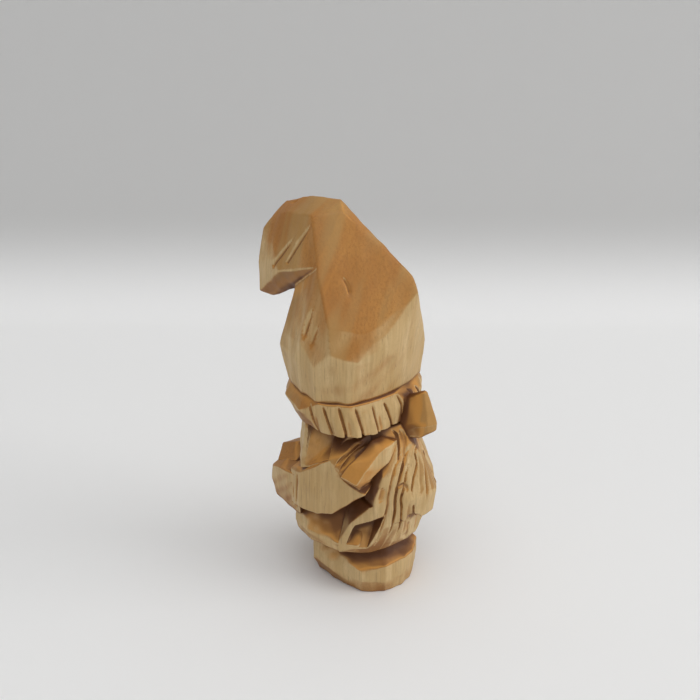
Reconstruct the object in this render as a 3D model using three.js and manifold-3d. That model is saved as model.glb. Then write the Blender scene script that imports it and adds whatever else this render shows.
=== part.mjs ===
// Tomte gnome figurine, whittled with a knife from one small limewood carving blank.
// Units are millimetres. +Z is up, the gnome faces -Y and its right hand side is -X.
// The corners below are measured from the body's upright axis; the finished group is
// then moved so that its origin is on the table under the middle of its bounding box.
//
// The real figurine is a single block of wood. Here it is divided along the carver's
// stop cuts (the deep V lines that set one form off from the next), so that every
// carved form is its own closed solid. Each solid is a convex faceted block, or a few
// of them joined, trimmed back from its neighbours by a thin gap.

import * as THREE from 'three';
import { ConvexGeometry } from 'three/addons/geometries/ConvexGeometry.js';
import { mergeVertices } from 'three/addons/utils/BufferGeometryUtils.js';
import Module from 'manifold-3d';

const wasm = await Module();
wasm.setup();

// ---- Driving dimensions -------------------------------------------------------

const TOP_OF_HAT = 97.5;         // highest point of the folded hat
const HAT_RIM = 55;              // stop cut between the hat and its fringed brim
const FRINGE_END = 46.8;         // lower edge of the fringed brim
const HEM = 13;                  // lower edge of the coat
const HALF_WIDTH = 18.6;         // the widest side facets of the hat
const FRONT = 15.6;              // front facet of the hat, ahead of the centre line
const BACK = 15.8;               // back facet of the hat wall
const BOX_CENTRE = 0.6;          // the bounding box's middle is this far behind the body's axis
const GAP = 0.3;                 // clear gap left between touching solids
const FLUTE_PITCH = 10;          // degrees from one fringe flute to the next
const FLUTE_COUNT = 23;          // flutes from one side, round the front, to the other
const FLUTE_HALF_WIDTH = 1.3;    // half the mouth of a flute
const FLUTE_DEPTH = 1.9;         // how deep a flute bites into the brim

const PALE_WOOD = 0xd9bd8a;      // side grain
const WARM_WOOD = 0xc98f4e;      // end grain, darker from the oil
const OIL_ROUGHNESS = 0.55;

// ---- Solids from corner points ------------------------------------------------

// The same corners on the gnome's left and right.
function bothSides(corners) {
  return corners.flatMap(([x, y, z]) => [[-x, y, z], [x, y, z]]);
}

// One level outline: half of its corners as [x, y], the rest mirrored.
function ring(z, halfOutline) {
  return bothSides(halfOutline.map(([x, y]) => [x, y, z]));
}

function mirrored(corners) {
  return corners.map(([x, y, z]) => [-x, y, z]);
}

// The faceted block round a set of corners.
function block(corners) {
  const geometry = new ConvexGeometry(corners.map((corner) => new THREE.Vector3(...corner)));
  geometry.deleteAttribute('normal');
  geometry.deleteAttribute('uv');
  const welded = mergeVertices(geometry, 1e-4);
  return new wasm.Manifold(new wasm.Mesh({
    numProp: 3,
    vertProperties: new Float32Array(welded.attributes.position.array),
    triVerts: new Uint32Array(welded.index.array),
  }));
}

// The same block made larger by the gap on every side, for trimming a neighbour.
function clearance(corners) {
  const swollen = [];
  for (const [x, y, z] of corners) {
    for (const dx of [-GAP, GAP]) {
      for (const dy of [-GAP, GAP]) {
        for (const dz of [-GAP, GAP]) {
          swollen.push([x + dx, y + dy, z + dz]);
        }
      }
    }
  }
  return block(swollen);
}

// Several blocks joined into one solid.
function joined(blocks) {
  return blocks.map(block).reduce((whole, next) => whole.add(next));
}

// A solid with room cut out of it for each of its neighbours' blocks.
function trimmed(solid, neighbours) {
  return neighbours.reduce((rest, corners) => rest.subtract(clearance(corners)), solid);
}

// ---- Corners of each carved form ----------------------------------------------

// Pointed crown: upright wall facets, a shoulder, and long slopes up to the fold.
// Its front ridge leans a little to the gnome's left, so the top is not symmetrical.
const crown = [
  ...ring(HAT_RIM + GAP, [
    [5, -FRONT + 0.8], [11.6, -12.3], [HALF_WIDTH - 0.4, -5],
    [HALF_WIDTH - 0.4, 5], [13, 12], [5, BACK - 0.3],
  ]),
  ...ring(66, [
    [4.4, -FRONT - 0.2], [11.2, -12.8], [HALF_WIDTH, -5],
    [HALF_WIDTH, 5], [13.2, 12.6], [5, BACK],
  ]),
  ...bothSides([
    [17.2, -4.6, 72.5], [14, -9.2, 72.5], [7, -13.6, 72.8], [16, 6, 69.5], [9.5, 8.6, 78.5],
    [4, 11, 79],
  ]),
  [-1.6, -16.4, 79],
  [1.6, -16.2, 78],
  [0, -9, 86],
  [-11.5, 2.5, 85],
  [10, 3, 83],
  [-5, 0.6, 96],
  [2.6, 5.4, 95.4],
  [-1.4, 3, TOP_OF_HAT],
];

// The point of the hat, folded over the back so that its end hangs down.
const foldedTip = [
  ...bothSides([[5, 17.1, 92.4], [7, 17, 79.3], [7.4, 13, 81]]),
  [-5, 0.6, 96],
  [2.6, 5.4, 95.4],
  [-1.4, 3, TOP_OF_HAT],
  [-1.6, 10.8, TOP_OF_HAT - 0.3],
  [-1, 18.8, 94.4],
  [-5, 11.8, 93.6],
  [4.6, 11.8, 93.4],
  [-11, 3, 84.5],
  [9.6, 4, 83],
  [-5, 23.2, 87.4],
  [4.4, 22.8, 86.6],
  [-7, 23.4, 73.8],
  [6, 22.6, 74],
  [-2.6, 22.2, 71.4],
  [3, 22, 71.4],
  [-1, 14.2, 75.6],
  [3, 14.2, 75.6],
];

// Brim: a thick band, slightly barrel shaped, cut under at the back.
const brimBand = [
  ...ring(HAT_RIM, [
    [5, -FRONT + 0.6], [12, -12.6], [HALF_WIDTH - 0.8, -5.4],
    [HALF_WIDTH - 0.8, 4.6], [12.8, 11.8], [5, BACK - 0.6],
  ]),
  ...ring(51.5, [
    [5, -FRONT], [12.6, -13], [HALF_WIDTH - 0.3, -6.4],
    [HALF_WIDTH - 0.2, 1], [14.2, 10], [5, BACK - 0.5],
  ]),
  ...ring(FRINGE_END, [
    [5, -FRONT + 1.1], [12, -12.6], [17, -7.5], [17.4, -1], [15, 5], [10, 10], [4, 12.4],
  ]),
];

// Large blunt nose standing out from under the brim.
const noseBlock = bothSides([
  [2.2, -17.2, 55], [1.6, -18.9, 54], [4.2, -15.8, 52], [2.8, -21.3, 47.6], [2, -21.6, 45.6],
  [4.8, -17.8, 47.2], [3, -19.2, 43.4], [3.4, -15.4, 43], [4.6, -13, 46], [4.2, -13, 52],
]);

// Right half of the moustache: a lock swept from under the nose back to the sleeve.
const moustacheLock = [
  [-0.3, -18.6, 44.6], [-0.3, -17.4, 41.8], [-0.3, -13, 43], [-0.3, -14.5, 46],
  [-7, -17.6, 45.4], [-7, -17.2, 40.4], [-14, -12.6, 45.6], [-14.2, -16.2, 39.4],
  [-16.6, -5.8, 38], [-17.2, -6.6, 36.2], [-18.2, -11.8, 35.8], [-17.2, -14, 37.2],
  [-13, -8, 39], [-12, -11, 41],
];

// Right arm, bent: the upper arm comes down to the elbow, the forearm goes to the back.
const upperArm = [
  [-9, -4, 46], [-9, -10, 45], [-14.5, -3, 45.6], [-13.5, -10, 45.2], [-17, -4, 40],
  [-16.8, -12.4, 36], [-17.2, -9.4, 31], [-10, -12.5, 34], [-10, -4, 34],
];
const forearm = [
  [-16.4, 5, 34.8], [-17, -3.8, 40], [-16.6, 5, 23.6], [-17.6, -1.1, 24.6],
  [-17.9, -5.2, 26.4], [-17.4, -9.4, 30.4], [-16.8, -12.9, 33.4], [-10, -12, 34],
  [-13.8, 8.4, 33.4], [-13.8, 8.4, 22.2], [-9, 7.6, 33], [-9, 7.6, 23], [-9, -6, 28],
];

// The hands, clasped behind the back, the left one lying over the right.
const rightHandBlock = [
  [-13.6, 8.8, 31], [-12.6, 8.8, 19.6], [-12, 14.6, 29.6], [-8.6, 19.4, 27.2],
  [-8.2, 20.1, 23], [-7.2, 19.4, 17.6], [-6.4, 15.6, 14.8], [-10.6, 10, 16.6],
  [0, 9.4, 25.4], [0, 18.6, 24.6], [0, 18, 16.8], [0, 9.4, 16.4],
];
const leftHandBlock = [
  [13.6, 8.8, 30.4], [12.6, 8.8, 19.6], [12, 14.8, 28.6], [8.4, 19.4, 23],
  [7.4, 18, 18.4], [4.6, 20.2, 28.6], [-4, 20.2, 29.4], [-4.6, 19, 26.4],
  [-3.4, 12, 29.6], [5, 12, 31], [2, 9.4, 19],
];

// Beard: a full upper mass whose ends stand out, and a narrower fall below to the hem.
const upperBeard = [
  ...ring(45.4, [[3, -15.8], [8, -14], [11, -11], [4, -10]]),
  ...ring(36, [[3, -19.2], [9, -17], [13, -12.6], [4, -10]]),
  ...ring(29, [[2, -22.2], [7, -19.6], [13.4, -13.6], [11, -9]]),
  ...ring(22.8, [[2, -21.4], [6.4, -18.8], [12, -13.4], [8, -9]]),
];
const lowerBeard = [
  ...ring(26, [[3, -18.4], [9, -16.6], [13, -12], [9, -8]]),
  ...ring(HEM + 2.6, [[2, -16.8], [6.6, -15.2], [12.4, -11.4], [9, -8]]),
  ...ring(HEM + 0.6, [[2, -15.2], [6.2, -13.8], [11, -10.4], [8, -8]]),
];

// Coat: shoulders under the brim, narrowing a little, then flaring to the hem.
const coatBlock = [
  ...ring(FRINGE_END - GAP, [[5, -10], [12, -8], [15.4, -2], [14, 5], [10, 8.6], [3, 11]]),
  ...ring(28, [[8, -12], [13.4, -6], [13, 5], [10, 9.4], [3, 11.2]]),
  ...ring(HEM + 4, [[8, -12], [13.2, -9.6], [14.8, -4], [14.4, 5.4], [11.4, 10.2], [4, 12.6]]),
  ...ring(HEM, [[4, -11], [10, -11.6], [13.2, -8.4], [14, -3], [12.8, 4], [9.4, 9], [3, 11]]),
];

// Deep gouge cuts across the coat below the arm, on the right side.
const upperGouge = [
  [-19, 9, 24], [-19, -11, 31], [-12.2, 7, 23.5], [-12.2, -8, 29],
  [-19, 9, 17.4], [-19, -6, 18.4], [-14.2, 6, 17.4], [-14.2, -4.6, 17.6],
];
const lowerGouge = [
  [-18, -13, 27], [-12, -12, 25.4], [-11.4, -8.6, 22], [-18, -7.4, 24],
  [-17, -11.4, 15.6], [-13.2, -10.6, 15.2], [-13.6, -6.8, 15.4],
];

// Stubby boots, carved as one foot block with a low chamfered sole.
const bootBlock = [
  ...ring(0, [[2, -15.2], [6.6, -13.2], [10, -8.4], [8.8, 1], [7, 6.2], [3, 8]]),
  ...ring(4.4, [[2.4, -16], [7.6, -13.8], [11, -9.2], [10.6, 2], [9, 7], [4, 9.6]]),
  ...bothSides([[6.4, -13.6, 9.4], [2, -15.4, 8.6], [9.6, -8.6, 6.6]]),
  ...bothSides([[10.2, 4, 7.4], [8.4, 7, 8]]),
  ...ring(HEM - GAP, [[4, -11], [8, -8], [8, 2], [5, 6]]),
];

// ---- Carving the solids -------------------------------------------------------

// V flutes cut up into the lower edge of the brim, from side to side round the front.
function fluteCutters() {
  const cutters = [];
  const middle = (FLUTE_COUNT - 1) / 2;
  for (let i = 0; i < FLUTE_COUNT; i += 1) {
    const turn = THREE.MathUtils.degToRad((i - middle) * FLUTE_PITCH);
    const outward = new THREE.Vector2(Math.sin(turn), -Math.cos(turn));
    const along = new THREE.Vector2(Math.cos(turn), Math.sin(turn));
    // The outline is deeper at the sides than at the front, so the flutes follow an ellipse.
    const reach = 1 / Math.hypot(outward.x / (HALF_WIDTH - 0.8), outward.y / FRONT);
    const at = (radius, sideways, z) => [
      outward.x * radius + along.x * sideways,
      outward.y * radius + along.y * sideways,
      z,
    ];
    const top = i % 2 === 0 ? HAT_RIM - 1.6 : HAT_RIM - 3.4;
    cutters.push([
      at(reach + 3, -FLUTE_HALF_WIDTH * 1.6, FRINGE_END - 1),
      at(reach + 3, FLUTE_HALF_WIDTH * 1.6, FRINGE_END - 1),
      at(reach - FLUTE_DEPTH, 0, FRINGE_END - 1),
      at(reach + 3, 0, top),
      at(reach, -0.2, top),
    ]);
  }
  return cutters;
}

const rightArm = [upperArm, forearm];
const leftArm = [mirrored(upperArm), mirrored(forearm)];
const moustaches = [moustacheLock, mirrored(moustacheLock)];
const beardBlocks = [upperBeard, lowerBeard];

const hat = joined([crown, foldedTip]);
const hatBrim = fluteCutters().reduce((rest, cutter) => rest.subtract(block(cutter)), block(brimBand));
const nose = trimmed(block(noseBlock), [brimBand, ...moustaches]);
const rightMoustache = block(moustacheLock);
const leftMoustache = block(mirrored(moustacheLock));
const rightSleeve = trimmed(joined(rightArm), moustaches);
const leftSleeve = trimmed(joined(leftArm), moustaches);
const rightHand = trimmed(block(rightHandBlock), rightArm);
const leftHand = trimmed(block(leftHandBlock), [...leftArm, rightHandBlock]);
const arms = [...rightArm, ...leftArm];
const beard = trimmed(joined(beardBlocks), [noseBlock, ...moustaches, ...arms]);
const wholeCoat = trimmed(
  block(coatBlock),
  [noseBlock, rightHandBlock, leftHandBlock, ...moustaches, ...arms, ...beardBlocks],
);
const coat = wholeCoat.subtract(block(upperGouge)).subtract(block(lowerGouge));
const boots = block(bootBlock);

// ---- The assembly -------------------------------------------------------------

function carvedMesh(name, solid, colour) {
  const { vertProperties, triVerts } = solid.getMesh();
  const geometry = new THREE.BufferGeometry();
  geometry.setAttribute('position', new THREE.BufferAttribute(new Float32Array(vertProperties), 3));
  geometry.setIndex(new THREE.BufferAttribute(new Uint32Array(triVerts), 1));
  const material = new THREE.MeshStandardMaterial({
    color: colour,
    roughness: OIL_ROUGHNESS,
    metalness: 0,
    flatShading: true,
  });
  const mesh = new THREE.Mesh(geometry, material);
  mesh.name = name;
  return mesh;
}

const gnome = new THREE.Group();
gnome.position.y = -BOX_CENTRE;
gnome.add(
  carvedMesh('hat', hat, WARM_WOOD),
  carvedMesh('hat_brim', hatBrim, PALE_WOOD),
  carvedMesh('nose', nose, WARM_WOOD),
  carvedMesh('moustache_right', rightMoustache, WARM_WOOD),
  carvedMesh('moustache_left', leftMoustache, WARM_WOOD),
  carvedMesh('beard', beard, PALE_WOOD),
  carvedMesh('coat', coat, PALE_WOOD),
  carvedMesh('sleeve_right', rightSleeve, PALE_WOOD),
  carvedMesh('sleeve_left', leftSleeve, PALE_WOOD),
  carvedMesh('hand_right', rightHand, PALE_WOOD),
  carvedMesh('hand_left', leftHand, WARM_WOOD),
  carvedMesh('boots', boots, PALE_WOOD),
);

export default gnome;
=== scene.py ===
"""Tomte gnome figurine, whittled from one block of limewood and oiled.

The visual model is carved the way the real one is: each form starts as a faceted block,
knife cuts and grooves are taken out of it, and the result becomes a fine mesh.
The carving is worked out in millimetres about the figure's upright axis: +Z is up,
the gnome faces -Y and its right hand side is -X. Blender gets it in metres, in the frame.
"""
import math

import bmesh
import bpy
import numpy as np
import openvdb
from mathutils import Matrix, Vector


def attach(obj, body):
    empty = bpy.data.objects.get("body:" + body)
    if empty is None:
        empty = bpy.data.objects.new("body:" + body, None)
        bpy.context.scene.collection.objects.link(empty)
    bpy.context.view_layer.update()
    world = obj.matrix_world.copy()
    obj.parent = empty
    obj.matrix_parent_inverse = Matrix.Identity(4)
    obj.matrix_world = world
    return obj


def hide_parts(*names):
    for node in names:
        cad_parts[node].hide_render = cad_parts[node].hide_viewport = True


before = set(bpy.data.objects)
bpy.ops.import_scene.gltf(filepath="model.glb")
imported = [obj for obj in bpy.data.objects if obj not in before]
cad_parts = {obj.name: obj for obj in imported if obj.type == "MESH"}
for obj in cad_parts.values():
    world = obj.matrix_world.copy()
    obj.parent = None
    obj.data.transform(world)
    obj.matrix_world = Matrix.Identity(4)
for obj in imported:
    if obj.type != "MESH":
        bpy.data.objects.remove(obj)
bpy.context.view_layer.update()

MM = 0.001
AXIS_Y = -0.6                            # the body's axis in the frame, in mm
FINE = 0.22      # size of a carving voxel, in mm
COARSE = 0.29     # the same for the big plain forms
BAND = 8                                 # voxels along each side of a carving cell
SAME_FACING = 0.9998                     # two faces are one facet if the cosine between them
SAME_PLANE = 0.05                        # is over this and their planes are this near, in mm
LEAST_FACE = 1e-3                        # faces smaller than this, in mm2, are left out
FAR_INSIDE = -1e3                        # a distance that every real one is greater than, in mm
HAT_RIM = 55.0                           # height of the hat's lower edge, in mm
FRINGE_END = 47.0                        # height where the brim's fringe ends
HEM = 13.2                               # height of the hem of coat and beard
LEFT_FRONT = (0.55, -0.84, 0)            # outward from the flats that trim the left front


# ---- Carving tools ---------------------------------------------------------------

def both_sides(corners):
    return [(side * x, y, z) for side in (-1, 1) for x, y, z in corners]


def both_sides_flat(outline):
    return [(side * x, y) for side in (-1, 1) for x, y in outline]


def ring(z, outline):
    return [(x, y, z) for x, y in outline]


def mirrored(corners):
    return [(-x, y, z) for x, y, z in corners]


def hull_planes(corners):
    """Unit normals and offsets of the flat faces round a set of corners."""
    hull = bmesh.new()
    for corner in corners:
        hull.verts.new(corner)
    bmesh.ops.convex_hull(hull, input=hull.verts)
    planes = []
    for face in hull.faces:
        face.normal_update()
        offset = face.normal.dot(face.verts[0].co)
        known = any(face.normal.dot(n) > SAME_FACING and abs(offset - d) < SAME_PLANE
                    for n, d in planes)
        if face.calc_area() > LEAST_FACE and not known:
            planes.append((face.normal.copy(), offset))
    hull.free()
    middle = np.mean(corners, axis=0)
    normals, offsets = [], []
    for normal, offset in planes:
        inside = float(np.dot(normal, middle)) <= offset
        normals.append(np.array(normal if inside else -normal, dtype=np.float32))
        offsets.append(offset if inside else -offset)
    return normals, offsets


class Block:
    """A faceted block round its corners. Its edges are worn round over `wear` mm."""

    def __init__(self, corners, wear=0.35):
        self.normals, self.offsets = hull_planes(corners)
        self.low = np.min(corners, axis=0)
        self.high = np.max(corners, axis=0)
        self.wear = wear

    def distance(self, points):
        first = np.full(len(points), FAR_INSIDE, dtype=np.float32)
        second = first.copy()
        for normal, offset in zip(self.normals, self.offsets):
            value = points @ normal - np.float32(offset)
            second = np.maximum(second, np.minimum(first, value))
            first = np.maximum(first, value)
        worn = np.clip(self.wear - (first - second), 0, None)
        return first + worn * worn / (4 * self.wear)

    def trimmed(self, point, outward):
        """The block less everything beyond a plane through the point."""
        normal = np.array(outward, dtype=np.float32) / np.float32(np.linalg.norm(outward))
        self.normals.append(normal)
        self.offsets.append(float(np.dot(normal, point)))
        return self


class Groove:
    """A V cut along a path over the surface. It runs out over `fade` of its length at each end.

    `lean` makes one wall of the V steeper than the other; its sign says which.
    """

    STEP = 0.25        # between the path's sampled points, in mm
    PRESSES = 4        # moves that bring the path down onto the surface
    LIFT = 0.3         # how far the bottom of the V stands clear of the wood at its ends, in mm

    def __init__(self, path, width, depth, lean=0.0, fade=(0.3, 0.3)):
        self.path = path
        self.width = width
        self.depth = depth
        self.lean = lean
        self.fade = fade

    def lay(self, form):
        """Presses the path onto the form's uncut surface and keeps its local directions."""
        points = smooth_path(self.path, self.STEP)
        for _ in range(self.PRESSES):
            normals = form.normals(points)
            points = points - normals * form.uncut(points)[:, None]
        along = np.gradient(points, axis=0)
        along /= np.linalg.norm(along, axis=1)[:, None]
        across = np.cross(along, normals)
        across /= np.linalg.norm(across, axis=1)[:, None]
        place = np.linspace(0, 1, len(points))
        fade_in, fade_out = np.maximum(self.fade, 1e-3)
        rise = np.clip(np.minimum((place + 1e-3) / fade_in, (1.001 - place) / fade_out), 0, 1)
        self.points = points.astype(np.float32)
        self.out = normals.astype(np.float32)
        self.across = across.astype(np.float32)
        self.sink = ((self.depth + self.LIFT) * rise * (2 - rise) - self.LIFT).astype(np.float32)
        self.reach = max(self.width, self.depth) * 1.6 + 1.0

    def carve(self, points, distance):
        low = self.points.min(axis=0) - self.reach
        high = self.points.max(axis=0) + self.reach
        near = np.all((points > low) & (points < high), axis=1) & (distance < self.reach)
        picked = np.flatnonzero(near)
        if not len(picked):
            return distance
        spots = points[picked]
        gaps = ((spots[:, None, :] - self.points[None, :, :]) ** 2).sum(axis=2)
        nearest = gaps.argmin(axis=1)
        offset = spots - self.points[nearest]
        height = (offset * self.out[nearest]).sum(axis=1)
        side = (offset * self.across[nearest]).sum(axis=1)
        slope = self.depth / self.width
        tilt = np.where(side > 0, slope * (1 + self.lean), slope * (1 - self.lean))
        cut = (height + self.sink[nearest] - np.abs(side) * tilt) / np.sqrt(1 + tilt * tilt)
        cut[gaps.min(axis=1) > self.reach ** 2] = FAR_INSIDE
        carved = distance.copy()
        carved[picked] = np.maximum(distance[picked], cut)
        return carved


class Gouge:
    """A block of waste cut clean out of a form."""

    def __init__(self, corners, wear=0.5):
        self.block = Block(corners, wear)

    def lay(self, form):
        pass

    def carve(self, points, distance):
        return np.maximum(distance, -self.block.distance(points))


def smooth_path(corners, step):
    """A curve through given points, sampled about every `step` mm."""
    corners = np.array(corners, dtype=np.float64)
    ends = np.vstack([2 * corners[0] - corners[1], corners, 2 * corners[-1] - corners[-2]])
    samples = []
    for a, b, c, d in zip(ends, ends[1:], ends[2:], ends[3:]):
        count = max(2, int(np.linalg.norm(c - b) / step))
        t = np.linspace(0, 1, count, endpoint=False)[:, None]
        samples.append(0.5 * (
            2 * b + (c - a) * t + (2 * a - 5 * b + 4 * c - d) * t ** 2
            + (3 * b - a - 3 * c + d) * t ** 3
        ))
    return np.vstack(samples + [corners[-1:]])


def knife_ripple(points, seed):
    """Very slight unevenness left by the knife, in mm: gentle waves and sharper upright ridges."""
    waves, ridges = 7, 3
    ridge_share, height, sunk = 2.2, 0.024, 0.1
    rng = np.random.default_rng(seed)
    total = np.zeros(len(points), dtype=np.float32)
    for _ in range(waves):
        heading = rng.normal(size=3)
        heading /= np.linalg.norm(heading)
        wave = heading * 2 * math.pi / rng.uniform(2.5, 9.0)
        total += np.sin(points @ wave.astype(np.float32) + rng.uniform(0, 6.3))
    for _ in range(ridges):
        turn = rng.uniform(0, math.pi)
        heading = np.array([math.cos(turn), math.sin(turn), rng.uniform(-0.15, 0.15)])
        wave = heading * math.pi / rng.uniform(3.0, 5.5)
        swing = np.abs(np.sin(points @ wave.astype(np.float32) + rng.uniform(0, 6.3)))
        total += ridge_share * swing
    return total * np.float32(height) - np.float32(sunk)


class Form:
    """One carved form: faceted blocks joined together, less its cuts.

    `soak` is how much darker its wood has taken the oil, `edge_soak` what is added to that
    along its edges, and `amber` how much of its end grain has turned amber. A form with
    `open_air` set gets its painted shade in recesses, and the oil darkening there, only from its
    own cuts and not from the forms round it.
    """

    def __init__(self, name, blocks, cuts=(), seed=1, voxel=FINE, soak=0.0, amber=0.0,
                 open_air=False, edge_soak=-0.12):
        self.name = name
        self.blocks = blocks
        self.cuts = list(cuts)
        self.seed = seed
        self.voxel = voxel
        self.soak = soak
        self.amber = amber
        self.open_air = open_air
        self.edge_soak = edge_soak
        self.low = np.min([block.low for block in blocks], axis=0) - 1.0
        self.high = np.max([block.high for block in blocks], axis=0) + 1.0
        for cut in self.cuts:
            cut.lay(self)

    def uncut(self, points):
        points = np.asarray(points, dtype=np.float32)
        distance = self.blocks[0].distance(points)
        for block in self.blocks[1:]:
            distance = np.minimum(distance, block.distance(points))
        return distance

    def normals(self, points, step=0.25):
        """Outward directions of the uncut surface."""
        slopes = []
        for axis in range(3):
            nudge = np.zeros(3)
            nudge[axis] = step
            slopes.append(self.uncut(points + nudge) - self.uncut(points - nudge))
        normals = np.stack(slopes, axis=1).astype(np.float64)
        return normals / np.maximum(np.linalg.norm(normals, axis=1), 1e-6)[:, None]

    def groove_depth(self, points):
        """How deep each point lies in a groove: below what the blocks and gouges leave."""
        distance = self.uncut(points)
        for cut in self.cuts:
            if isinstance(cut, Gouge):
                distance = cut.carve(points, distance)
        return np.clip(-distance, 0, 1)

    def distance(self, points):
        distance = self.uncut(points) + knife_ripple(points, self.seed)
        for cut in self.cuts:
            distance = cut.carve(points, distance)
        return distance


def carve_surface(form):
    """The form's surface as vertices and quads, in mm.

    Only the cells of voxels near the surface are worked out in full.
    """
    cells_at_once = 1500
    voxel = form.voxel
    cell = BAND * voxel
    counts = np.ceil((form.high - form.low) / cell).astype(int)
    cells = np.stack(np.meshgrid(*[np.arange(n) for n in counts], indexing="ij"), -1)
    cells = cells.reshape(-1, 3)
    centres = (form.low + (cells + 0.5) * cell - voxel / 2).astype(np.float32)
    rough = form.distance(centres)
    volume = np.repeat(np.repeat(np.repeat(
        np.where(rough > 0, cell, -cell).reshape(counts).astype(np.float32),
        BAND, axis=0), BAND, axis=1), BAND, axis=2)
    close = np.abs(rough) < cell * 0.95 + 0.4
    steps = np.stack(np.meshgrid(*[np.arange(BAND)] * 3, indexing="ij"), -1).reshape(-1, 3)
    for group in np.array_split(cells[close], max(1, int(close.sum() / cells_at_once))):
        index = (group[:, None, :] * BAND + steps[None, :, :]).reshape(-1, 3)
        points = (form.low + index * voxel).astype(np.float32)
        volume[index[:, 0], index[:, 1], index[:, 2]] = form.distance(points)
    grid = openvdb.FloatGrid(float(cell))
    grid.copyFromArray(volume)
    vertices, quads = grid.convertToQuads(isovalue=0.0)
    return form.low + vertices * voxel, quads


# ---- The forms -------------------------------------------------------------------

def hat_form():
    rim = [(-4.6, -13.1), (-11.4, -10.7), (-15.6, -8), (-18.4, -1.2), (-16.2, 4.8), (-12, 11),
           (-5, 15), (1.4, -13.9), (8, -13.2), (12.5, -10), (18, -2), (16.2, 5.5), (12, 11),
           (5, 15)]
    swell = [(-18.9, -1), (-16.9, 5.6), (-12.2, 13.2), (-5.5, 16.4), (1.6, -15), (8.4, -14),
             (13, -10.6), (18.6, -2), (17, 6), (12.4, 12.8), (5.5, 16.2)]
    crown = Block(
        ring(HAT_RIM, rim) + ring(63.5, swell) + [
            (-18.2, -5.4, 67.4), (-14.8, -10.3, 65.6), (-9.9, -13.7, 67.2), (-8.8, -13.9, 71),
            (-5, -15, 66),
            (-4.9, 0.4, 96), (-4.6, 7.8, 94.2), (-11, 3.6, 84.4), (-13.5, 1.3, 85.3),
            (-17, -3.9, 73.8), (-14.9, -6.9, 72.8), (-11.6, -10.8, 72.3), (-5.4, -14.6, 76.2),
            (-0.8, -17, 79.4), (0, -15.1, 82.6),
            (-2.4, -7.2, 89.2), (-1.4, 3, 97.2), (2.6, 5.4, 95.2), (10, 3, 83),
            (9, -11, 75.5), (15, -8, 70.5), (17.4, -1, 70), (15.5, 7, 69), (9.5, 9, 77),
            (4, 11, 79), (-17.4, 3.6, 68), (-11, 8, 78.4), (-12, 11.6, 69), (-9, 14.6, 65),
            (0, 12.4, 76),
        ])
    tip = Block([
        (-4.9, 0.4, 96), (-8.4, 6.2, 95), (-7.5, 9.9, 93.9), (-5.8, 15.9, 93.3),
        (-1.4, 3, 97.4), (-1.4, 10.8, 97), (-1, 18.4, 94.4), (-3.4, 20.6, 91.4),
        (-4, 23.3, 87.6), (-6.9, 14.6, 91.5), (-7.9, 17.7, 85.9), (-10.9, 14, 81),
        (-6, 23.5, 80), (-6.6, 23, 72.6), (-6, 19.4, 72), (-8.4, 8, 78.2), (-13.5, 1.3, 85.3),
        (2.6, 5.4, 95.2), (4.6, 11.8, 93.2), (4.4, 22.4, 86.4), (6, 22, 74), (3, 20.6, 71.6),
        (3, 13.6, 75.8), (-1, 13, 76), (9.6, 4, 83),
    ])
    long_mark = dict(width=0.55, depth=0.65, lean=-0.3, fade=(0.5, 0.02))
    wall_mark = dict(width=0.6, lean=-0.3, fade=(0.6, 0.3))
    nick = dict(width=0.5, depth=0.5, lean=0.4)
    cuts = [
        Groove([(-9.3, 5.1, 94.6), (-9.5, 7.9, 89.3), (-9.8, 11.4, 82.7)], **long_mark),
        Groove([(-8.4, 9.9, 89.7), (-8.4, 12.8, 85.1), (-8.4, 15.6, 80.9)], **long_mark),
        Groove([(-14.9, 0.7, 77.2), (-16.6, 1.9, 72.4), (-17.6, 2.9, 68.6)], depth=0.55, **wall_mark),
        Groove([(-16.2, -1.5, 74.4), (-17.4, -0.4, 71), (-18.2, 0.5, 67.4)], depth=0.5, **wall_mark),
        Groove([(-10.4, -2.8, 83.6), (-10.9, -5, 81), (-11.6, -6, 79)], **nick),
        Groove([(-2.9, 15.9, 94.6), (-2.4, 15, 95), (-2.1, 14, 95.4)], **nick),
    ]
    return Form("hat", [crown, tip], cuts, seed=3, voxel=COARSE, soak=0.01, open_air=True,
                edge_soak=0.3)


def round_brim(turn, z):
    """A point on the brim, `turn` degrees round from the gnome's front."""
    half_width, half_depth = 18.2, 15.2
    angle = math.radians(turn)
    return (half_width * math.sin(angle), -half_depth * math.cos(angle), z)


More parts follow.
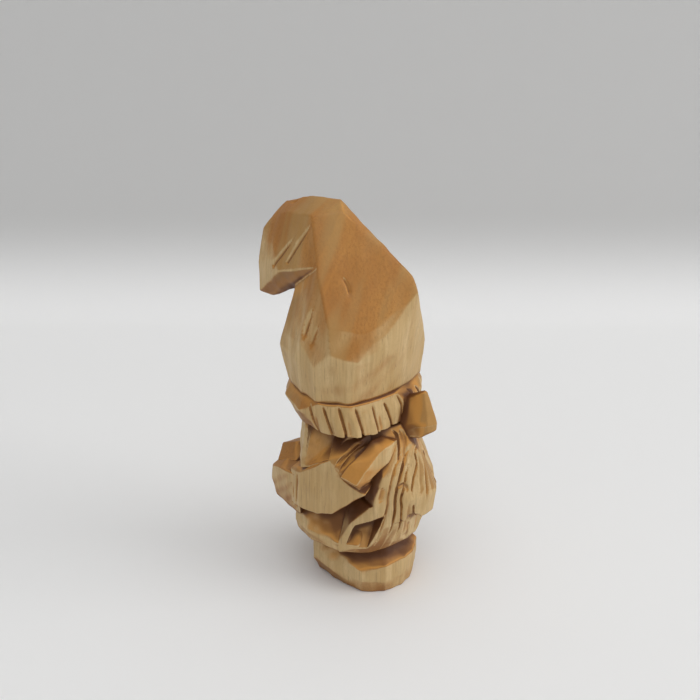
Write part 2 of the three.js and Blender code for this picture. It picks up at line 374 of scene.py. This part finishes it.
def brim_form():
    inside = [(-4.2, -12.3), (-10.8, -10), (-14.8, -7.5), (-17.6, -1.2), (-15.2, 4.2), (-11, 10),
              (-4.5, 13.8), (1.4, -12.6), (8, -12), (12, -9), (16.8, -2), (15, 5), (11, 10),
              (4.5, 13.8)]
    edge = [(-4.8, -13.7), (-11.5, -11.3), (-15.8, -8.4), (-18.5, -2.2), (15.4, -6.4), (18.2, -1.5),
            (16.2, 5.5), (12, 11)]
    belly = [(-3, -15), (1.6, -15.4), (7, -14.4), (12, -11.4), (18.4, -2.6), (18.2, 3.8),
             (13.4, 11.4), (6, 15.3), (-18.6, 1.4), (-18.3, 3.8), (-13.4, 11.4), (-6, 15.3)]
    lower = [(-6.2, -14.1), (-11.6, -12.9), (-15.2, -10.6), (-17.2, -7.4), (-17.7, -2),
             (-15.4, 4.6), (-10.5, 10), (-4, 12.4), (0, -14.8), (5.4, -14), (11, -11.8),
             (16, -8), (17.6, -2), (15.4, 4.6), (10.5, 10), (4, 12.4)]
    band = Block(ring(HAT_RIM + 0.6, inside) + ring(HAT_RIM - 0.25, edge) + ring(51.6, belly)
                 + ring(FRINGE_END, lower), wear=0.25)
    rng = np.random.default_rng(11)
    cuts = []
    spacing = 13.2
    for turn in np.arange(-92, 93, spacing):
        start = turn + rng.uniform(-1.5, 1.5)
        slant = rng.uniform(3, 8)
        top = rng.uniform(54, 55.5)
        cut = [round_brim(start, top), round_brim(start + slant, FRINGE_END + 0.8)]
        cuts.append(Groove(cut, 0.32, rng.uniform(0.6, 0.9), 0.6, fade=(0.3, 0)))
        middle = start + spacing / 2 + rng.uniform(-1, 1)
        hollow = [round_brim(middle, top - 1), round_brim(middle + slant / 2, FRINGE_END + 0.8)]
        cuts.append(Groove(hollow, 1.2, rng.uniform(0.22, 0.4), rng.uniform(-0.4, 0.4),
                           fade=(0.7, 0)))
    return Form("hat_brim", [band], cuts, seed=5, soak=-0.1)


def nose_form():
    knob = Block(both_sides([
        (0.8, -18.6, 55), (0.8, -19.4, 54.9), (1.4, -17.6, 53), (1.4, -20.6, 50.8),
        (2.2, -21.3, 47.4), (1.8, -21.4, 45.4), (2.6, -19, 46.6), (2.4, -19.6, 43.6),
        (3, -15.8, 43), (3, -14, 46), (2, -12, 51),
    ]) + [(0, -19.9, 54.9), (0, -21.4, 50.6), (0, -22.8, 47.5), (0, -22.6, 45.8)], wear=0.8)
    return Form("nose", [knob], seed=7, soak=0.3, amber=0.15)


def moustache_form(side):
    lock = [(-5.5, -12, 43.6), (-5.5, -15.2, 43.8), (-5.6, -15.2, 41.6), (-8.7, -13, 45.4),
            (-11.4, -11.8, 45.2), (-17, -9.6, 40.6), (-18.4, -7.6, 37.4),
            (-8, -16, 44.6), (-11.4, -15.5, 44.3), (-13.3, -14.9, 43.5), (-16.8, -13.8, 40.4),
            (-18.8, -12.4, 36.8), (-10.1, -15.8, 40), (-12.7, -14.9, 38.6), (-15, -13.8, 36.9),
            (-17.4, -12.2, 35.2), (-16.6, -7.4, 35.6), (-9, -9, 40)]
    if side == "left":
        block = Block(mirrored(lock), wear=0.2).trimmed((12, -14, 40), LEFT_FRONT)
    else:
        block = Block(lock, wear=0.2)
    return Form("moustache_" + side, [block], seed=9, soak=0.08, amber=0.6)


def sleeve_form(side):
    upper = [(-7, -2, 46.6), (-7, -10, 46), (-13, -2.4, 44), (-12.2, -9.4, 44.8),
             (-10.2, -10.8, 43.6), (-14.7, -8.9, 42.8), (-15.9, -7.6, 40.9), (-17, -3.6, 39.9),
             (-17.3, -8.4, 37), (-15.8, -12.6, 36), (-17.2, -9.4, 31), (-8, -12.5, 34), (-8, -2, 34)]
    fore = [(-16.4, 5, 33.6), (-17, -3.8, 40), (-16.4, 6, 23.4), (-17.6, -1.1, 24.4),
            (-17.9, -5.2, 26.2), (-17.4, -9, 29.8), (-17.5, -8.4, 36), (-15.8, -13.1, 33.2),
            (-8, -12, 34),
            (-13.4, 10, 31.6), (-13.4, 10, 22), (-7, 9, 33), (-7, 9, 23), (-7, -6, 28)]
    hair = [[(-10.2, -10.4, 43.6), (-14.7, -8.6, 41.8), (-16.8, -6.2, 37)],
            [(-10.6, -9.6, 44.4), (-14.9, -7.6, 42.2), (-17, -5, 38.2)]]
    cuff = [[(-15.6, 6.4, 33), (-15.4, 6.9, 28), (-15.3, 7, 23)],
            [(-14.4, 8.4, 32), (-14.2, 8.7, 28), (-14.1, 9, 23)]]
    paths = hair + cuff
    if side == "left":
        upper, fore = mirrored(upper), mirrored(fore)
        paths = [mirrored(path) for path in paths]
    cuts = [Groove(path, 0.6, 0.55, 0.4) for path in paths]
    blocks = [Block(upper, wear=0.25), Block(fore, wear=0.25)]
    if side == "left":
        blocks = [block.trimmed((14, -9.6, 34), LEFT_FRONT) for block in blocks]
    return Form("sleeve_" + side, blocks, cuts, seed=13)


def right_hand_form():
    hand = [(-15, 6.4, 31.4), (-14.6, 6.4, 20), (-12.4, 14.4, 29.8), (-8.8, 19.2, 27.4),
            (-8.4, 20, 23), (-7.4, 19.4, 17.6), (-6.6, 15.6, 14.8), (-11, 9.6, 17),
            (-1.6, 9, 31), (-1.6, 18.4, 28.8), (2, 8, 25.4), (2, 18.8, 24.6), (2, 18, 16.8),
            (2, 8, 16.4)]
    cuff = [[(-14.6, 7.6, 29), (-14, 7.8, 24), (-13, 8.8, 19)],
            [(-13.8, 9.4, 29), (-13.4, 9.4, 24.6), (-12.4, 10.4, 20)]]
    cuts = [Groove(path, 0.5, 0.4, 0.4) for path in cuff]
    return Form("hand_right", [Block(hand, wear=0.7)], cuts, seed=17, soak=0.05)


def left_hand_form():
    hand = [(15, 6.4, 31), (14, 6.4, 20), (12.4, 14.8, 28.6), (8.4, 19.4, 22), (7.4, 18, 18.4),
            (4.6, 20.2, 28.6), (-3, 20.4, 30.6), (-3, 16.2, 32.3), (-7.6, 18.6, 28.2),
            (-8.6, 12, 30.4), (-4.6, 19, 24), (-3, 10, 32.6), (5, 11, 31),
            (0, 8, 19)]
    return Form("hand_left", [Block(hand, wear=1.0)], seed=19)


def notch(side):
    """The scoop cut low down between two locks of the beard."""
    corners = [(-14.1, -9.2, 22.4), (-12.8, -12.4, 23.4), (-10.6, -15.6, 25.6), (-11.2, -7, 20.4),
               (-8.6, -11.4, 22), (-14.8, -6.2, 14), (-12, -10.8, 14), (-17, -10, 22.4),
               (-14, -18, 25), (-17, -7.6, 14), (-15, -13, 14)]
    return Gouge(corners if side == "right" else mirrored(corners), wear=0.3)


def beard_form():
    upper = (ring(46.4, both_sides_flat([(3, -14.6), (7.6, -11.6), (9, -9.4)]))
             + ring(42.4, both_sides_flat([(2.6, -17.6), (8, -14.8)]))
             + ring(36, both_sides_flat([(3, -19.2), (9, -17), (11.4, -15)]))
             + ring(29, both_sides_flat([(2, -22.2), (7, -19.8), (12.8, -13.6)]))
             + ring(22.8, both_sides_flat([(1.6, -21.4), (4.6, -20), (9, -17), (12, -13.4)]))
             + both_sides([(8.8, -15.4, 39.4), (7.6, -8, 46), (8, -8.5, 37), (8.6, -6, 24)]))
    lower = (ring(28, both_sides_flat([(3, -18.4), (9, -16.8), (12.8, -12.6)]))
             + ring(22.4, both_sides_flat([(2, -18.4), (6, -18.2), (9.4, -16.6), (12.8, -12.8),
                                           (14.4, -7.8)]))
             + ring(15.8, both_sides_flat([(2, -17.2), (6.6, -15.6), (11.8, -11.6), (14.8, -4.6)]))
             + ring(HEM + 1.2, both_sides_flat([(2, -16.6), (6.4, -14.8), (9, -12.6)]))
             + ring(HEM, both_sides_flat([(1, -14.6), (14.4, -4.6)]))
             + ring(HEM - 0.7, both_sides_flat([(9.9, -10.8), (7, -8)]))
             + both_sides([(8.4, -4, 28), (9.6, -2, 17), (10, -3, 13.4)]))
    near_strands = [
        [(-4.7, -15.2, 39.9), (-7.9, -16.4, 38.9), (-9.6, -16.4, 35.8), (-10.6, -16, 30.7),
         (-10.7, -15.9, 28), (-10.6, -14.2, 21.7), (-10.6, -11.7, 14)],
        [(-3.6, -17.4, 39.4), (-6, -18.4, 36.5), (-7.4, -18.4, 33), (-8.3, -18.1, 30),
         (-7.9, -18, 27), (-6.6, -16.2, 20.4), (-7.2, -15, 14)],
        [(-11.4, -15.2, 34), (-11.8, -14.6, 31), (-12, -14.2, 28.6)],
        [(-6.6, -19.4, 31), (-6, -18.4, 24), (-5, -17.6, 19), (-5.2, -16, 14)],
        [(-5.6, -20.2, 28.1), (-4.7, -20.3, 22)],
        [(-4.4, -17.6, 22), (-3, -17.4, 17.4), (-3.2, -16, 14)],
        [(-5.4, -13.2, 46.2), (-5.2, -14.6, 44), (-6.6, -16.4, 41), (-8.2, -16.8, 38)],
        [(-3.6, -14.2, 46.2), (-3.6, -15.8, 43.6), (-5.2, -17.4, 40.6), (-6.4, -18.2, 37)],
    ]
    middle_strands = [
        [(-1.6, -13, 45.3), (-0.8, -12.3, 42.6), (-2.9, -12.7, 41.2)],
        [(-1.1, -15.3, 41.4), (-5, -17.1, 39.9), (-7.3, -17.4, 36.6), (-8.9, -17.4, 33),
         (-9.4, -17.2, 29.9), (-9.1, -16.8, 25.5), (-8.6, -15, 19.4), (-8.6, -13.4, 14)],
        [(-0.6, -16.1, 41.5), (-2.5, -18, 39.7), (-2.9, -18.9, 37), (-4.9, -19.4, 33.8),
         (-5.9, -19.7, 31.1), (-5.5, -20.2, 27.5)],
        [(-1.8, -17.6, 40.9), (-1.6, -18.9, 37.4), (-2.8, -20.3, 33.5), (-4.2, -21, 28.4)],
        [(-0.2, -17.7, 40.4), (-0.1, -19.5, 36), (-1.6, -21, 32.1), (-2.9, -21.6, 26)],
        [(1.4, -17.6, 40.7), (1.8, -19.5, 35.9), (0.5, -21.2, 31.6), (-0.8, -21.9, 26.4)],
        [(3, -17, 41), (4, -19, 36), (3.2, -21, 31), (1.6, -21.6, 25)],
        [(4.6, -16.4, 41), (7, -18, 36), (6.4, -19.4, 31), (4.6, -20.2, 25)],
        [(-0.6, -17.6, 22), (0.4, -17.4, 18), (0.2, -16, 14)],
    ]
    strands = near_strands + [mirrored(path) for path in near_strands] + middle_strands
    broad_share, broad_cut, thin_cut = 0.45, (1.2, 0.42), (0.38, 0.75)
    rng = np.random.default_rng(41)
    cuts = [notch("right"), notch("left")]
    for path in strands:
        width, depth = broad_cut if rng.random() < broad_share else thin_cut
        cuts.append(Groove(path, width * rng.uniform(0.8, 1.2), depth * rng.uniform(0.7, 1.1),
                           rng.uniform(-0.7, 0.7), fade=(0.3, 0.4)))
    curl = [(-9.4, -16.7, 31.4), (-8.8, -17.3, 33.1), (-7.3, -18.4, 33.6), (-6.7, -18.8, 32.2),
            (-7.4, -18.4, 31)]
    cuts.append(Groove(curl, 0.55, 0.55, -0.3, fade=(0.3, 0.3)))
    locks = Block(upper).trimmed((6, -15.4, 36.5), (LEFT_FRONT[0], LEFT_FRONT[1], 0.4))
    return Form("beard", [locks, Block(lower)], cuts, seed=23, soak=-0.1)


def coat_form():
    """The back and shoulders, drawn in under the arms, over a skirt that spreads to the hem."""
    chest = Block(
        ring(HAT_RIM - 7.4, both_sides_flat([(5, -10), (12, -8), (14.6, -2), (14.7, 1.2),
                                             (13.2, 5.4), (11, 7.6), (2.2, 10.6)]))
        + ring(38, both_sides_flat([(8, -10), (13, -6), (14.8, -2), (15.1, 1.4), (13.9, 5.2),
                                    (10, 9.6), (4.4, 11.8)]))
        + ring(24, both_sides_flat([(7, -9), (9.4, -4), (9.4, 5), (9.6, 9.4), (3, 11.4)])))
    skirt = Block(
        ring(26, both_sides_flat([(7, -9), (9.4, -4), (9.6, 4), (11, 9.8), (4, 12.2)]))
        + ring(15.8, both_sides_flat([(8, -12), (12.8, -9), (14.8, -4.6), (14.6, 4.2),
                                      (11.6, 10.4), (4, 12.7)]))
        + ring(HEM, both_sides_flat([(4, -11), (9.4, -10.8), (12.6, -8.4), (14.3, -4), (14, 3.8),
                                     (11.2, 9.8), (3.6, 12)])))
    shoulder = [(-16.6, -4, 40), (-16.2, 4.9, 34.8), (-11.6, -6, 47.6), (-13.8, 4.9, 47.8),
                (-8, -9, 47.6), (-8, 6, 47.6), (-13, 7.5, 36), (-8, -9, 36), (-8, 6, 33), (-15, -6, 37)]
    scoop = [(-17.2, -4.4, 39.6), (-16.6, 4, 34.6), (-13, 3.6, 46.8), (-11.4, -6.4, 46.4),
             (-13, 3.6, 53), (-11.4, -6.4, 53), (-22, -6, 53), (-22, 5, 53),
             (-22, -5, 38), (-22, 4.6, 33)]
    shoulders = [Block(shoulder, wear=0.3), Block(mirrored(shoulder), wear=0.3)]
    scoops = [Gouge(scoop), Gouge(mirrored(scoop))]
    return Form("coat", [chest, skirt] + shoulders, scoops, seed=29, voxel=COARSE)


def boots_form():
    sole = [(2, -15.2), (6.6, -13.2), (10, -8.4), (8.8, 1), (7, 6.2), (3, 8)]
    wall = [(2.4, -16), (7.6, -13.8), (11, -9.2), (10.9, 1), (9.3, 6.6), (4, 9.6)]
    lip = [(2, -16.2, 8.8), (7.6, -13.8, 8.4), (11.1, -8, 7.2), (11.1, 0, 6.2), (10.2, 5, 7.4)]
    neck = [(2.5, -9.5), (6, -5), (6.2, 1), (8.8, 6.8), (4, 9.4)]
    foot = (ring(0, both_sides_flat(sole)) + ring(4, both_sides_flat(wall)) + both_sides(lip)
            + ring(HEM + 1, both_sides_flat(neck)))
    return Form("boots", [Block(foot)], seed=31)


forms = [
    hat_form(), brim_form(), nose_form(), moustache_form("right"), moustache_form("left"),
    beard_form(), coat_form(), sleeve_form("right"), sleeve_form("left"),
    right_hand_form(), left_hand_form(), boots_form(),
]


# ---- Meshes ----------------------------------------------------------------------

RECESS_SHADE_AND_OIL_REACHES = ((0.8, 0.15), (2.0, 0.3), (4.5, 0.55))    # each reach in mm, and its share
HOLLOW_REACH = 9.0                                         # for the painted shade in the wide scoops, in mm


def nearest_distance(points, reach, neighbours):
    """Distance to the nearest of these forms, right up to `reach`."""
    nearest = np.full(len(points), reach, dtype=np.float32)
    for form in neighbours:
        inside = np.all((points > form.low - reach) & (points < form.high + reach), axis=1)
        picked = np.flatnonzero(inside)
        if len(picked):
            nearest[picked] = np.minimum(nearest[picked], form.distance(points[picked]))
    return nearest


def recess_shade_and_oil(points, normals, neighbours):
    """How hemmed in each surface point is: 0 in the open, 1 deep in a cut. The wood paints shade, with
    the oil pooled in the cuts, from this.
    """
    return sum(share * closeness(points, normals, reach, neighbours)
               for reach, share in RECESS_SHADE_AND_OIL_REACHES)


def closeness(points, normals, reach, neighbours):
    """How near other wood comes to the spot `reach` mm straight out from each point: 0 to 1."""
    probe = (points + normals * reach).astype(np.float32)
    return np.clip(1 - nearest_distance(probe, reach, neighbours) / reach, 0, 1)


def edge_share(form, points, normals):
    """How near each surface point is to a sharp edge, by how thin the wood is behind it: 0 to 1."""
    depth = 0.7
    flat, sharp = 0.1, 0.3
    behind = form.distance((points - normals * depth).astype(np.float32))
    thinness = np.clip(1 + behind / depth, 0, 1)
    return np.clip((thinness - flat) / (sharp - flat), 0, 1)


def keep_values(mesh, name, values):
    """Keeps a number for each vertex, for the material to read."""
    attribute = mesh.attributes.new(name, "FLOAT", "POINT")
    attribute.data.foreach_set("value", values)


def make_piece(form):
    vertices, quads = carve_surface(form)
    mesh = bpy.data.meshes.new(form.name + "_carved")
    placed = (vertices + np.array([0, AXIS_Y, 0])) * MM
    mesh.from_pydata(placed.tolist(), [], quads.tolist())
    mesh.update()
    normals = np.empty(len(vertices) * 3, dtype=np.float32)
    mesh.vertex_normals.foreach_get("vector", normals)
    normals = normals.reshape(-1, 3)
    neighbours = [form] if form.open_air else forms
    # Mask for the painted shade in recesses, which also stands for the oil pooled there.
    keep_values(mesh, "recess_shade_and_oil", recess_shade_and_oil(vertices, normals, neighbours))
    # How closed in each point is over a wider reach, for the painted shade deep in the scoops.
    keep_values(mesh, "hollow", closeness(vertices, normals, HOLLOW_REACH, neighbours))
    edge = edge_share(form, vertices, normals)
    # How deep each point lies in a groove, for the painted shade and oil along the grooves.
    keep_values(mesh, "groove", form.groove_depth(vertices.astype(np.float32)))
    keep_values(mesh, "soak", (form.soak + form.edge_soak * edge).astype(np.float32))
    keep_values(mesh, "amber", np.full(len(vertices), form.amber, dtype=np.float32))
    mesh.polygons.foreach_set("use_smooth", np.ones(len(mesh.polygons), dtype=bool))
    piece = bpy.data.objects.new(form.name + "_carved", mesh)
    bpy.context.scene.collection.objects.link(piece)
    return piece


# ---- Wood ------------------------------------------------------------------------

class Nodes:
    """Short calls for building a material's node tree."""

    def __init__(self, tree):
        self.tree = tree

    def add(self, kind, **settings):
        node = self.tree.nodes.new(kind)
        for key, value in settings.items():
            setattr(node, key, value)
        return node

    def link(self, source, target):
        self.tree.links.new(source, target)

    def math(self, operation, a, b=None):
        node = self.add("ShaderNodeMath", operation=operation)
        for socket, value in zip(node.inputs, (a, b)):
            if value is None:
                continue
            if isinstance(value, (int, float)):
                socket.default_value = value
            else:
                self.link(value, socket)
        return node.outputs[0]

    def mix(self, factor, a, b):
        node = self.add("ShaderNodeMix", data_type="RGBA")
        for name, value in (("Factor", factor), ("A", a), ("B", b)):
            socket = next(s for s in node.inputs if s.name == name and s.enabled)
            if isinstance(value, (int, float, tuple)):
                socket.default_value = value
            else:
                self.link(value, socket)
        return next(s for s in node.outputs if s.enabled)

    def span(self, value, low, high, start=0.0, end=1.0):
        node = self.add("ShaderNodeMapRange", interpolation_type="SMOOTHSTEP")
        self.link(value, node.inputs["Value"])
        node.inputs["From Min"].default_value = low
        node.inputs["From Max"].default_value = high
        node.inputs["To Min"].default_value = start
        node.inputs["To Max"].default_value = end
        return node.outputs["Result"]

    def noise(self, vector, scale, detail=3.0, roughness=0.5):
        node = self.add("ShaderNodeTexNoise")
        self.link(vector, node.inputs["Vector"])
        node.inputs["Scale"].default_value = scale
        node.inputs["Detail"].default_value = detail
        node.inputs["Roughness"].default_value = roughness
        return node.outputs["Fac"]

    def value(self, name):
        """A number kept on the mesh by `keep_values`."""
        return self.add("ShaderNodeAttribute", attribute_name=name).outputs["Fac"]

    def stretched(self, vector, scale):
        node = self.add("ShaderNodeMapping")
        self.link(vector, node.inputs["Vector"])
        node.inputs["Scale"].default_value = scale
        return node.outputs["Vector"]


PALE = (0.66, 0.468, 0.23, 1)                # side grain
PALE_STREAK = (0.55, 0.36, 0.152, 1)
PALE_FIBRE = (0.44, 0.285, 0.11, 1)
PALE_CLOUD = (0.46, 0.27, 0.085, 1)
PALE_SPECK = (0.42, 0.28, 0.11, 1)
PORE = (0.27, 0.16, 0.065, 1)
WARM = (0.475, 0.213, 0.043, 1)              # end grain
WARM_CLOUD = (0.385, 0.155, 0.026, 1)
WARM_SPECK = (0.31, 0.12, 0.02, 1)
WARM_FIBRE = (0.34, 0.15, 0.03, 1)
GROWTH_RING = (0.405, 0.245, 0.08, 1)
AMBER = (0.62, 0.285, 0.052, 1)              # end grain at the mouth of a scoop
SCOOP_SHADE = (0.19, 0.066, 0.012, 1)        # painted shade deep inside a scoop
# painted shade on faces turned down
UNDERSIDE_SHADE = (0.2, 0.08, 0.018, 1)
# painted shade deep in the cuts, with the oil pooled there
DEEP_CUT_SHADE_AND_OIL = (0.12, 0.038, 0.008, 1)
# painted shade at the bottom of the grooves, with the oil pooled there
GROOVE_SHADE_AND_OIL = (0.19, 0.078, 0.02, 1)


def wood_material():
    material = bpy.data.materials.new("oiled_limewood")
    material.use_nodes = True
    material.node_tree.nodes.clear()
    n = Nodes(material.node_tree)
    output = n.add("ShaderNodeOutputMaterial")
    shader = n.add("ShaderNodeBsdfPrincipled")
    n.link(shader.outputs["BSDF"], output.inputs["Surface"])
    place = n.add("ShaderNodeTexCoord").outputs["Object"]
    facing = n.add("ShaderNodeSeparateXYZ")
    n.link(n.add("ShaderNodeNewGeometry").outputs["Normal"], facing.inputs[0])
    upward = n.math("ABSOLUTE", facing.outputs["Z"])
    downward = n.math("MULTIPLY", facing.outputs["Z"], -1.0)

    # Fibres run straight up, so across them the pattern is fine and along them it is long.
    fibres = n.noise(n.stretched(place, (1500, 1500, 70)), 1.0, 4, 0.6)
    streaks = n.noise(n.stretched(place, (420, 420, 16)), 1.0, 3, 0.55)
    blotch = n.noise(n.stretched(place, (110, 110, 45)), 1.0, 3, 0.5)
    speck = n.noise(n.stretched(place, (1900, 1900, 1500)), 1.0, 3, 0.65)
    pores = n.span(n.noise(n.stretched(place, (2400, 2400, 60)), 1.0, 2, 0.5), 0.62, 0.72, 0, 0.5)
    rings = n.noise(n.stretched(place, (40, 170, 9)), 1.0, 2, 0.5)
    broad = n.noise(n.stretched(place, (45, 45, 60)), 1.0, 2, 0.5)

    # End grain drinks the oil: the more a cut crosses the fibres, the darker it is.
    crossing = n.math("ADD", upward, n.math("MULTIPLY", n.math("SUBTRACT", blotch, 0.5), 0.35))
    crossing = n.math("ADD", crossing, n.value("soak"))
    end_grain = n.span(crossing, 0.1, 0.38)
    pale = n.mix(n.span(streaks, 0.3, 0.7), PALE, PALE_STREAK)
    pale = n.mix(n.span(fibres, 0.35, 0.75, 0, 0.62), pale, PALE_FIBRE)
    pale = n.mix(n.span(broad, 0.42, 0.7, 0, 0.45), pale, PALE_CLOUD)
    pale = n.mix(n.span(speck, 0.48, 0.68, 0, 0.22), pale, PALE_SPECK)
    pale = n.mix(pores, pale, PORE)
    warm = n.mix(n.span(blotch, 0.3, 0.7), WARM, WARM_CLOUD)
    warm = n.mix(n.span(speck, 0.46, 0.66, 0, 0.5), warm, WARM_SPECK)
    warm = n.mix(n.span(fibres, 0.42, 0.72, 0, 0.55), warm, WARM_FIBRE)
    warm = n.mix(n.span(rings, 0.42, 0.6, 0, 0.6), warm, GROWTH_RING)
    # Painted shade in the wide scoops: amber toward their mouths, dark brown deep inside.
    hollow = n.value("hollow")
    amber = n.math("MAXIMUM", n.span(hollow, 0.1, 0.32, 0, 0.85), n.value("amber"))
    warm = n.mix(amber, warm, AMBER)
    warm = n.mix(n.span(hollow, 0.32, 0.66, 0, 0.88), warm, SCOOP_SHADE)
    # Painted shade on faces that turn downward.
    warm = n.mix(n.span(downward, 0.1, 0.5, 0, 0.6), warm, UNDERSIDE_SHADE)
    wood = n.mix(end_grain, pale, warm)

    # Painted shade in the cuts, together with the oil that gathers there: orange where they open and
    # brown in their depths.
    recess_shade_and_oil_mask = n.value("recess_shade_and_oil")
    groove = n.value("groove")
    wood = n.mix(n.span(recess_shade_and_oil_mask, 0.18, 0.45, 0, 0.7), wood, warm)
    wood = n.mix(n.span(recess_shade_and_oil_mask, 0.22, 0.58, 0, 0.93), wood, DEEP_CUT_SHADE_AND_OIL)
    # Painted shade and oil along the grooves.
    wood = n.mix(n.span(groove, 0.18, 0.36, 0, 0.75), wood, warm)
    wood = n.mix(n.span(groove, 0.26, 0.52, 0, 0.8), wood, GROOVE_SHADE_AND_OIL)
    n.link(wood, shader.inputs["Base Color"])

    gloss = n.math("ADD", n.math("MULTIPLY", streaks, 0.18), 0.46)
    n.link(gloss, shader.inputs["Roughness"])
    shader.inputs["IOR"].default_value = 1.46

    grain = n.math("ADD", n.math("MULTIPLY", fibres, 0.7), n.math("MULTIPLY", speck, 0.3))
    bump = n.add("ShaderNodeBump")
    bump.inputs["Strength"].default_value = 0.65
    bump.inputs["Distance"].default_value = 0.00012
    n.link(grain, bump.inputs["Height"])
    n.link(bump.outputs["Normal"], shader.inputs["Normal"])
    return material


# ---- Stage -----------------------------------------------------------------------

CAMERA_AZIMUTH = -57.0                   # degrees round from the gnome's front
CAMERA_AWAY = 0.238                      # level distance from the figure's axis, in metres
CAMERA_HEIGHT = 0.173                    # above the floor, in metres
LOOK_AT = (-0.0007, 0.0005, 0.0605)      # the point at the middle of the picture
LENS = 57.3                              # in mm, on a sensor 36 mm wide
LIT_SPOT = (0, 0, 0.05)                  # the point that both lights are turned to
PAPER_NEAR = (0.90, 0.895, 0.885, 1)
# paper on the wall, greyed by painted shade
PAPER_WALL_SHADE = (0.615, 0.61, 0.6, 1)
SKY = (0.95, 0.97, 1.0, 1)


def paper_material():
    """White paper with painted shade: it greys where the backdrop rises from the floor into the wall.
    """
    material = bpy.data.materials.new("backdrop_paper")
    material.use_nodes = True
    n = Nodes(material.node_tree)
    shader = material.node_tree.nodes["Principled BSDF"]
    height = n.add("ShaderNodeSeparateXYZ")
    n.link(n.add("ShaderNodeTexCoord").outputs["Object"], height.inputs[0])
    # Painted shade, darker from the floor up onto the wall.
    shade = n.mix(n.span(height.outputs["Z"], -0.008, 0.03), PAPER_NEAR, PAPER_WALL_SHADE)
    n.link(shade, shader.inputs["Base Color"])
    shader.inputs["Roughness"].default_value = 0.8
    return material


def make_floor():
    """A pale sheet that lies flat under the figure and curves up behind it."""
    half_width, front, back, rise, radius = 12.0, -12.0, 0.148, 12.0, 0.034
    steps = 24
    profile = [(front, 0.0), (back, 0.0)]
    for step in range(1, steps + 1):
        turn = math.radians(90 * step / steps)
        profile.append((back + radius * math.sin(turn), radius * (1 - math.cos(turn))))
    profile.append((back + radius, rise))
    heading = math.radians(CAMERA_AZIMUTH)
    vertices = []
    for away, height in profile:
        for side in (-half_width, half_width):
            x = side * math.cos(heading) - away * math.sin(heading)
            y = side * math.sin(heading) + away * math.cos(heading)
            vertices.append((x, y, height))
    faces = [(2 * i, 2 * i + 1, 2 * i + 3, 2 * i + 2) for i in range(len(profile) - 1)]
    mesh = bpy.data.meshes.new("floor")
    mesh.from_pydata(vertices, [], faces)
    mesh.polygons.foreach_set("use_smooth", [True] * len(faces))
    floor = bpy.data.objects.new("floor", mesh)
    floor.data.materials.append(paper_material())
    bpy.context.scene.collection.objects.link(floor)


def make_camera():
    heading = math.radians(CAMERA_AZIMUTH)
    camera = bpy.data.objects.new("camera", bpy.data.cameras.new("camera"))
    camera.data.lens = LENS
    camera.data.sensor_width = 36
    camera.data.clip_start = 0.01
    camera.location = (CAMERA_AWAY * math.sin(heading),
                       -CAMERA_AWAY * math.cos(heading) + AXIS_Y * MM,
                       CAMERA_HEIGHT)
    toward = Vector(LOOK_AT) - camera.location
    camera.rotation_euler = toward.to_track_quat("-Z", "Y").to_euler()
    bpy.context.scene.collection.objects.link(camera)
    bpy.context.scene.camera = camera


def soft_light(name, azimuth, elevation, distance, size, power):
    """A square soft box that shines at the figure from that direction."""
    lamp = bpy.data.lights.new(name, "AREA")
    lamp.size = size
    lamp.energy = power
    light = bpy.data.objects.new(name, lamp)
    light.visible_camera = False
    turn, rise = math.radians(azimuth), math.radians(elevation)
    light.location = (distance * math.sin(turn) * math.cos(rise),
                      -distance * math.cos(turn) * math.cos(rise),
                      distance * math.sin(rise))
    toward = Vector(LIT_SPOT) - light.location
    light.rotation_euler = toward.to_track_quat("-Z", "Y").to_euler()
    bpy.context.scene.collection.objects.link(light)


def make_lights():
    world = bpy.data.worlds.new("studio")
    world.use_nodes = True
    background = world.node_tree.nodes["Background"]
    background.inputs["Color"].default_value = SKY
    background.inputs["Strength"].default_value = 0.45
    bpy.context.scene.world = world
    soft_light("key", azimuth=CAMERA_AZIMUTH + 80, elevation=26, distance=2.5, size=1.5, power=21.5)
    soft_light("top", azimuth=CAMERA_AZIMUTH + 20, elevation=75, distance=1.2, size=1.2, power=6.2)


# ---- Putting it together ---------------------------------------------------------

make_camera()
make_floor()
make_lights()
bpy.context.scene.view_settings.view_transform = "Standard"

wood = wood_material()
for form in forms:
    piece = make_piece(form)
    piece.data.materials.append(wood)
    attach(piece, "root")
    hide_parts(form.name)
